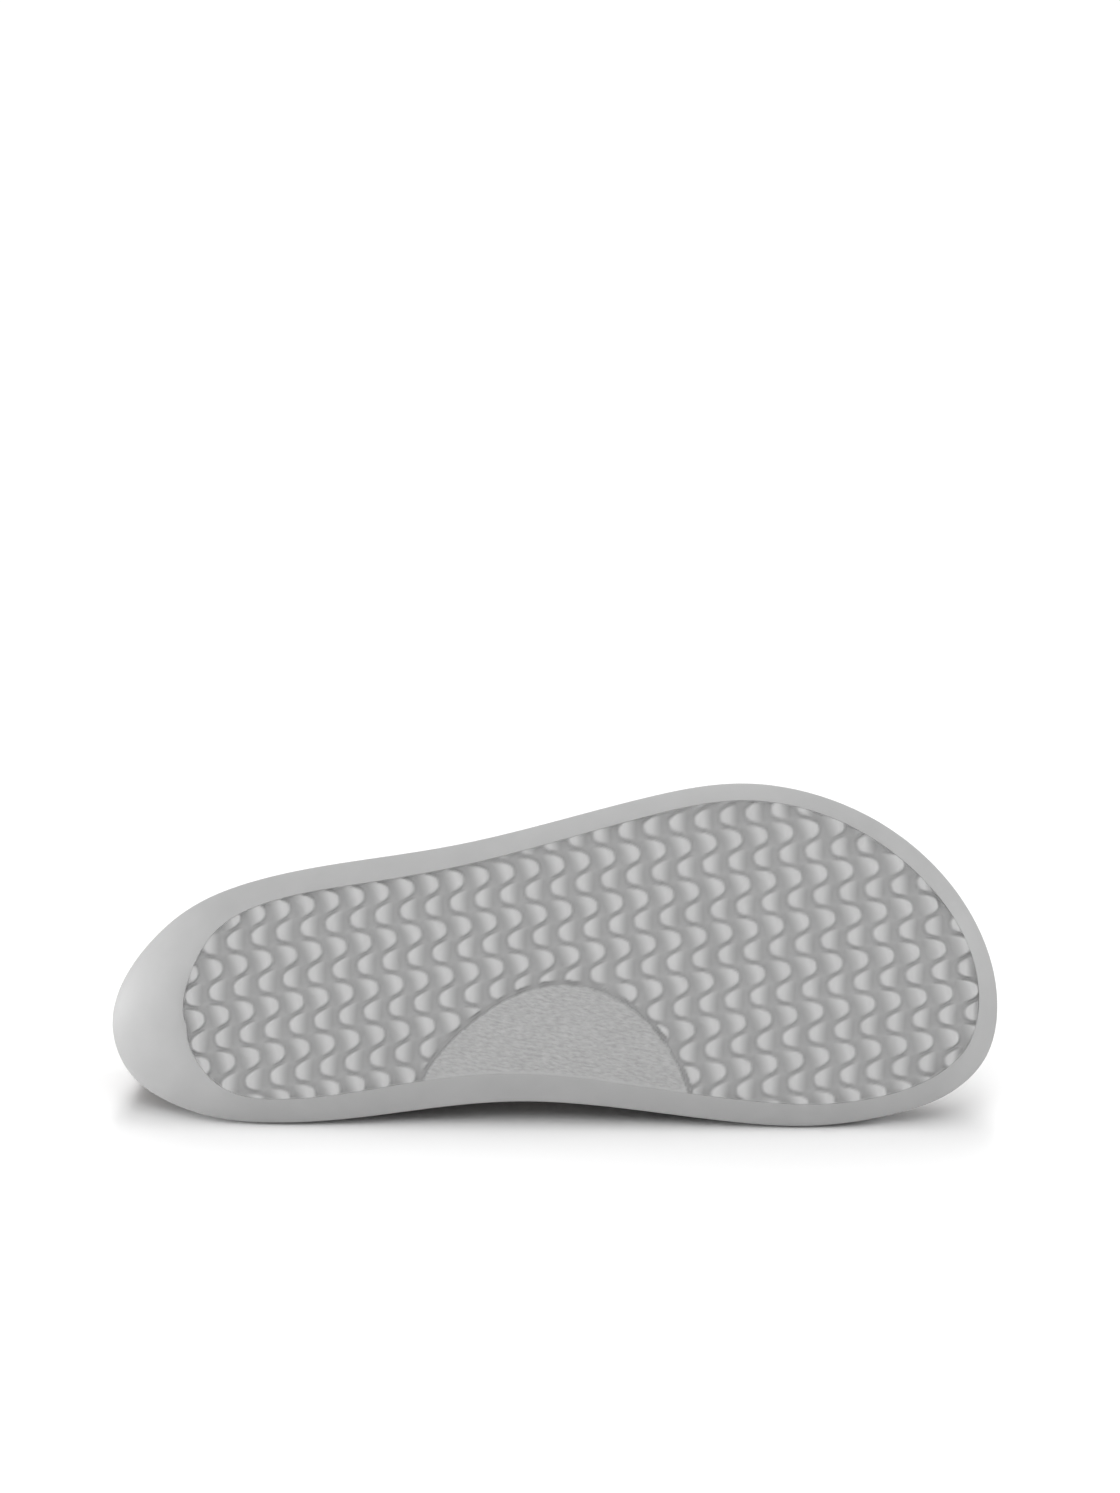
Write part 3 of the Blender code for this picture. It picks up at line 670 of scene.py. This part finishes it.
def mouldedRubber():
    # light grey moulded rubber: pale tops, a duller rim, floors and channel darker as painted shade in the
    # recesses, a faint grit and the panel's streaked grain
    look = rubberLook
    noiseLow, noiseHigh = look["noise"]
    made, tree, shader = newMaterial("moulded_rubber")
    place = addNode(tree, "ShaderNodeTexCoord").outputs["Object"]
    relief, inPanel, smoothArea = (
        addNode(tree, "ShaderNodeAttribute", attribute_name=key).outputs["Fac"]
        for key in ("relief", "panelGrain", "smoothArea")
    )
    turned = addNode(tree, "ShaderNodeMapping", {
        "Vector": place, "Rotation": (0.0, np.radians(look["grainTurn"]), 0.0),
    })
    stretched = addNode(tree, "ShaderNodeMapping", {
        "Vector": turned.outputs["Vector"],
        "Scale": (1.0 / (look["grainAlong"] * mm), 0.0, 1.0 / (look["grainAcross"] * mm)),
    })
    streak = addNode(tree, "ShaderNodeTexNoise", {
        "Vector": stretched.outputs["Vector"], "Scale": 1.0, "Detail": 2.0,
    })
    grain = addNode(tree, "ShaderNodeMath", {0: streak.outputs["Fac"], 1: inPanel}, operation="MULTIPLY")
    grit, cloud = (
        addNode(tree, "ShaderNodeTexNoise", {
            "Vector": place, "Scale": 1.0 / (look[key] * mm), "Detail": detail,
        })
        for key, detail in (("grit", 3.0), ("cloud", 5.0))
    )
    # share of the channel round the panel, which takes a darker tone still: painted shade in the channel
    deep = addNode(tree, "ShaderNodeMapRange", {
        "Value": relief, "From Min": 0.0, "From Max": look["grooveAt"],
    })
    # tones by height: palest on the tops, darkest on the floors; the darker floors and slopes are painted
    # shade in the recesses
    colour = linear(look["floor"])
    layers = dict(top=relief, shadedChannel=deep.outputs["Result"], rim=smoothArea, panel=inPanel)
    for key, share in layers.items():
        mixed = addNode(tree, "ShaderNodeMix", {0: share, 6: colour, 7: linear(look[key])}, data_type="RGBA")
        colour = mixed.outputs[2]
    fleck, worn = (
        addNode(tree, "ShaderNodeMapRange", {
            "Value": noise.outputs["Fac"], "From Min": noiseLow, "From Max": noiseHigh,
            "To Min": look[key][0], "To Max": look[key][1],
        })
        for noise, key in ((streak, "fleck"), (cloud, "worn"))
    )
    panelTone = addNode(tree, "ShaderNodeMix", {
        0: inPanel, 2: 1.0, 3: fleck.outputs["Result"],
    }, data_type="FLOAT")
    shade = addNode(tree, "ShaderNodeMath", {
        0: panelTone.outputs[0], 1: worn.outputs["Result"],
    }, operation="MULTIPLY")
    toned = addNode(tree, "ShaderNodeVectorMath", {0: colour, "Scale": shade.outputs[0]}, operation="SCALE")
    tree.links.new(toned.outputs["Vector"], shader.inputs["Base Color"])
    fine = addNode(tree, "ShaderNodeBump", {
        "Height": grit.outputs["Fac"], "Strength": look["gritBump"], "Distance": look["gritHeight"] * mm,
    })
    ridged = addNode(tree, "ShaderNodeBump", {
        "Height": grain.outputs[0], "Strength": look["grainBump"], "Distance": look["grainHeight"] * mm,
        "Normal": fine.outputs["Normal"],
    })
    tree.links.new(ridged.outputs["Normal"], shader.inputs["Normal"])
    rough = addNode(tree, "ShaderNodeMapRange", {
        "Value": cloud.outputs["Fac"], "To Min": look["roughness"][0], "To Max": look["roughness"][1],
    })
    tree.links.new(rough.outputs["Result"], shader.inputs["Roughness"])
    shader.inputs["IOR"].default_value = look["ior"]
    return made


# Leathers: each finish has its light and dark tone, its least and greatest roughness and the strength
# of its grain. cloud, pebble and pore are sizes in millimetres, grainHeight the depth of the grain.
# Real pores are too fine to show, so they are drawn coarser.
leatherLook = dict(
    face=("#3d3029", "#251c17", (0.36, 0.52), 0.6),
    lining=("#c8a582", "#9c7c5c", (0.56, 0.72), 0.2),
    insole=("#b98f69", "#8c6846", (0.54, 0.70), 0.3),
    cloud=18.0, pebble=1.6, pore=0.55, grainHeight=0.2,
    cloudShare=0.55, pebbleShare=0.8, lightest=0.15, ior=1.5,
)


def grainedLeather(name, finish):
    # smooth grain leather: soft tone changes, fine pebbles and pores, a low sheen
    look = leatherLook
    light, dark, roughness, strength = look[finish]
    made, tree, shader = newMaterial(name)
    place = addNode(tree, "ShaderNodeTexCoord").outputs["Object"]
    cloud, pore = (
        addNode(tree, "ShaderNodeTexNoise", {
            "Vector": place, "Scale": 1.0 / (look[key] * mm), "Detail": detail,
        })
        for key, detail in (("cloud", 4.0), ("pore", 3.0))
    )
    pebble = addNode(tree, "ShaderNodeTexVoronoi", {
        "Vector": place, "Scale": 1.0 / (look["pebble"] * mm),
    }, feature="SMOOTH_F1")
    burnish = addNode(tree, "ShaderNodeAttribute", attribute_name="burnish").outputs["Fac"]
    worn = addNode(tree, "ShaderNodeMath", {
        0: cloud.outputs["Fac"], 1: look["cloudShare"], 2: burnish,
    }, operation="MULTIPLY_ADD")
    tone = addNode(tree, "ShaderNodeValToRGB", {"Fac": worn.outputs[0]})
    pale, deep = tone.color_ramp.elements
    pale.position, pale.color = look["lightest"], linear(light)
    deep.position, deep.color = 1.0, linear(dark)
    tree.links.new(tone.outputs["Color"], shader.inputs["Base Color"])
    height = addNode(tree, "ShaderNodeMath", {
        0: pebble.outputs["Distance"], 1: look["pebbleShare"], 2: pore.outputs["Fac"],
    }, operation="MULTIPLY_ADD")
    bump = addNode(tree, "ShaderNodeBump", {
        "Height": height.outputs[0], "Strength": strength, "Distance": look["grainHeight"] * mm,
    })
    tree.links.new(bump.outputs["Normal"], shader.inputs["Normal"])
    shine = addNode(tree, "ShaderNodeMapRange", {
        "Value": pore.outputs["Fac"], "To Min": roughness[0], "To Max": roughness[1],
    })
    tree.links.new(shine.outputs["Result"], shader.inputs["Roughness"])
    shader.inputs["IOR"].default_value = look["ior"]
    return made


threadLook = dict(dark="#86705a", pale="#a48d6f", fibre=0.4, roughness=0.5)


def waxedThread():
    # waxed linen thread: pale, slightly glossy, twisted too finely to show, so its fibres are drawn coarser
    made, tree, shader = newMaterial("waxed_thread")
    place = addNode(tree, "ShaderNodeTexCoord").outputs["Object"]
    fibre = addNode(tree, "ShaderNodeTexNoise", {
        "Vector": place, "Scale": 1.0 / (threadLook["fibre"] * mm), "Detail": 2.0,
    })
    tone = addNode(tree, "ShaderNodeValToRGB", {"Fac": fibre.outputs["Fac"]})
    for stop, key in zip(tone.color_ramp.elements, ("dark", "pale")):
        stop.color = linear(threadLook[key])
    tree.links.new(tone.outputs["Color"], shader.inputs["Base Color"])
    shader.inputs["Roughness"].default_value = threadLook["roughness"]
    return made


def dress(piece, materials, node=None):
    # a piece's materials and body; the CAD node that it stands for is hidden
    for made in materials:
        piece.data.materials.append(made)
    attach(piece, "root")
    if node:
        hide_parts(node)


rubber = mouldedRubber()
faceLeather = grainedLeather("smooth_leather", "face")
liningLeather = grainedLeather("lining_leather", "lining")
insoleLeather = grainedLeather("insole_leather", "insole")

dress(outsolePiece(), [rubber], "outsole")
upperMade, outerGrid, outerNormal, outerTurn = upperPiece()
dress(upperMade, [faceLeather, liningLeather], "upper")
dress(insolePiece(), [insoleLeather], "insole")
dress(stitchPiece(stitchRows(outerGrid, outerNormal, outerTurn)), [waxedThread()])
print("shoe: pieces dressed")

# Camera: square to the tread, as far as a long studio lens; the frame is 1120 by 1493.
shot = dict(
    imageHigh=1493, mmPerPixel=0.2932, centre=(131.2, 110.6), level=7.0, tilt=0.33, distance=2000.0,
    sensor=36.0, clip=(0.05, 60.0),
)


def setCamera():
    # looks along the shoe's up direction at the frame's middle point on the tread plane, turned by
    # the small tilt
    axes = shoeAxes()
    tilt = np.radians(shot["tilt"])
    rightWay = axes @ np.array([np.cos(tilt), np.sin(tilt), 0.0])
    upWay = axes @ np.array([-np.sin(tilt), np.cos(tilt), 0.0])
    ahead = axes @ np.array([0.0, 0.0, 1.0])
    middle = layOnFloor([[*shot["centre"], shot["level"]]])[0]
    data = bpy.data.cameras.new("studio_camera")
    data.sensor_width = shot["sensor"]
    data.lens = shot["sensor"] * shot["distance"] / (shot["imageHigh"] * shot["mmPerPixel"])
    data.clip_start, data.clip_end = shot["clip"]
    camera = bpy.data.objects.new("studio_camera", data)
    turned = Matrix(np.stack([rightWay, upWay, -ahead], axis=1).tolist()).to_4x4()
    camera.matrix_world = Matrix.Translation(Vector(middle - ahead * shot["distance"] * mm)) @ turned
    bpy.context.scene.collection.objects.link(camera)
    bpy.context.scene.camera = camera


# Lights: power, width and depth in metres, place, and the point each is turned to.
studio = dict(
    world=0.28, floor="#f8f8f8", floorRoughness=0.9, half=14.0,
    lights=dict(
        overhead=(612.0, 1.5, 24.0, (0.0, 6.6, 7.8), (0.0, 6.6, 0.0)),
        back=(259.0, 1.5, 14.0, (0.0, 8.5, 7.8), (0.0, 8.5, 0.0)),
        front=(183.0, 3.6, 3.6, (-0.6, -6.3, 4.95), (0.0, 0.0, 0.05)),
        low=(45.0, 3.6, 2.0, (-0.6, -7.6, 2.1), (0.0, 0.0, 0.05)),
        heel=(124.0, 2.1, 0.7, (-4.0, 0.35, 0.42), (-0.1, 0.0, 0.05)),
        toe=(62.0, 2.1, 0.7, (4.0, 0.0, 1.4), (0.1, 0.0, 0.05)),
    ),
)


def setStudio():
    # white floor, long lights overhead and behind, two soft ones in front, and low side lights on
    # heel and toe
    half = studio["half"]
    corners = [(-half, -half, 0.0), (half, -half, 0.0), (half, half, 0.0), (-half, half, 0.0)]
    mesh = bpy.data.meshes.new("studio_floor")
    mesh.from_pydata(corners, [], [(0, 1, 2, 3)])
    floor = bpy.data.objects.new("studio_floor", mesh)
    bpy.context.scene.collection.objects.link(floor)
    made, tree, shader = newMaterial("white_floor")
    shader.inputs["Base Color"].default_value = linear(studio["floor"])
    shader.inputs["Roughness"].default_value = studio["floorRoughness"]
    mesh.materials.append(made)
    world = bpy.data.worlds.new("white_room")
    world.use_nodes = True
    backdrop = world.node_tree.nodes["Background"]
    backdrop.inputs["Color"].default_value = (1.0, 1.0, 1.0, 1.0)
    backdrop.inputs["Strength"].default_value = studio["world"]
    bpy.context.scene.world = world
    for name, (power, wide, deep, place, target) in studio["lights"].items():
        data = bpy.data.lights.new(name + "_light", "AREA")
        data.shape, data.energy, data.size, data.size_y = "RECTANGLE", power, wide, deep
        lamp = bpy.data.objects.new(name + "_light", data)
        lamp.location = place
        lamp.rotation_euler = (Vector(target) - Vector(place)).to_track_quat("-Z", "Y").to_euler()
        bpy.context.scene.collection.objects.link(lamp)
    bpy.context.scene.view_settings.view_transform = "Standard"


setCamera()
setStudio()
print("shoe: studio set")
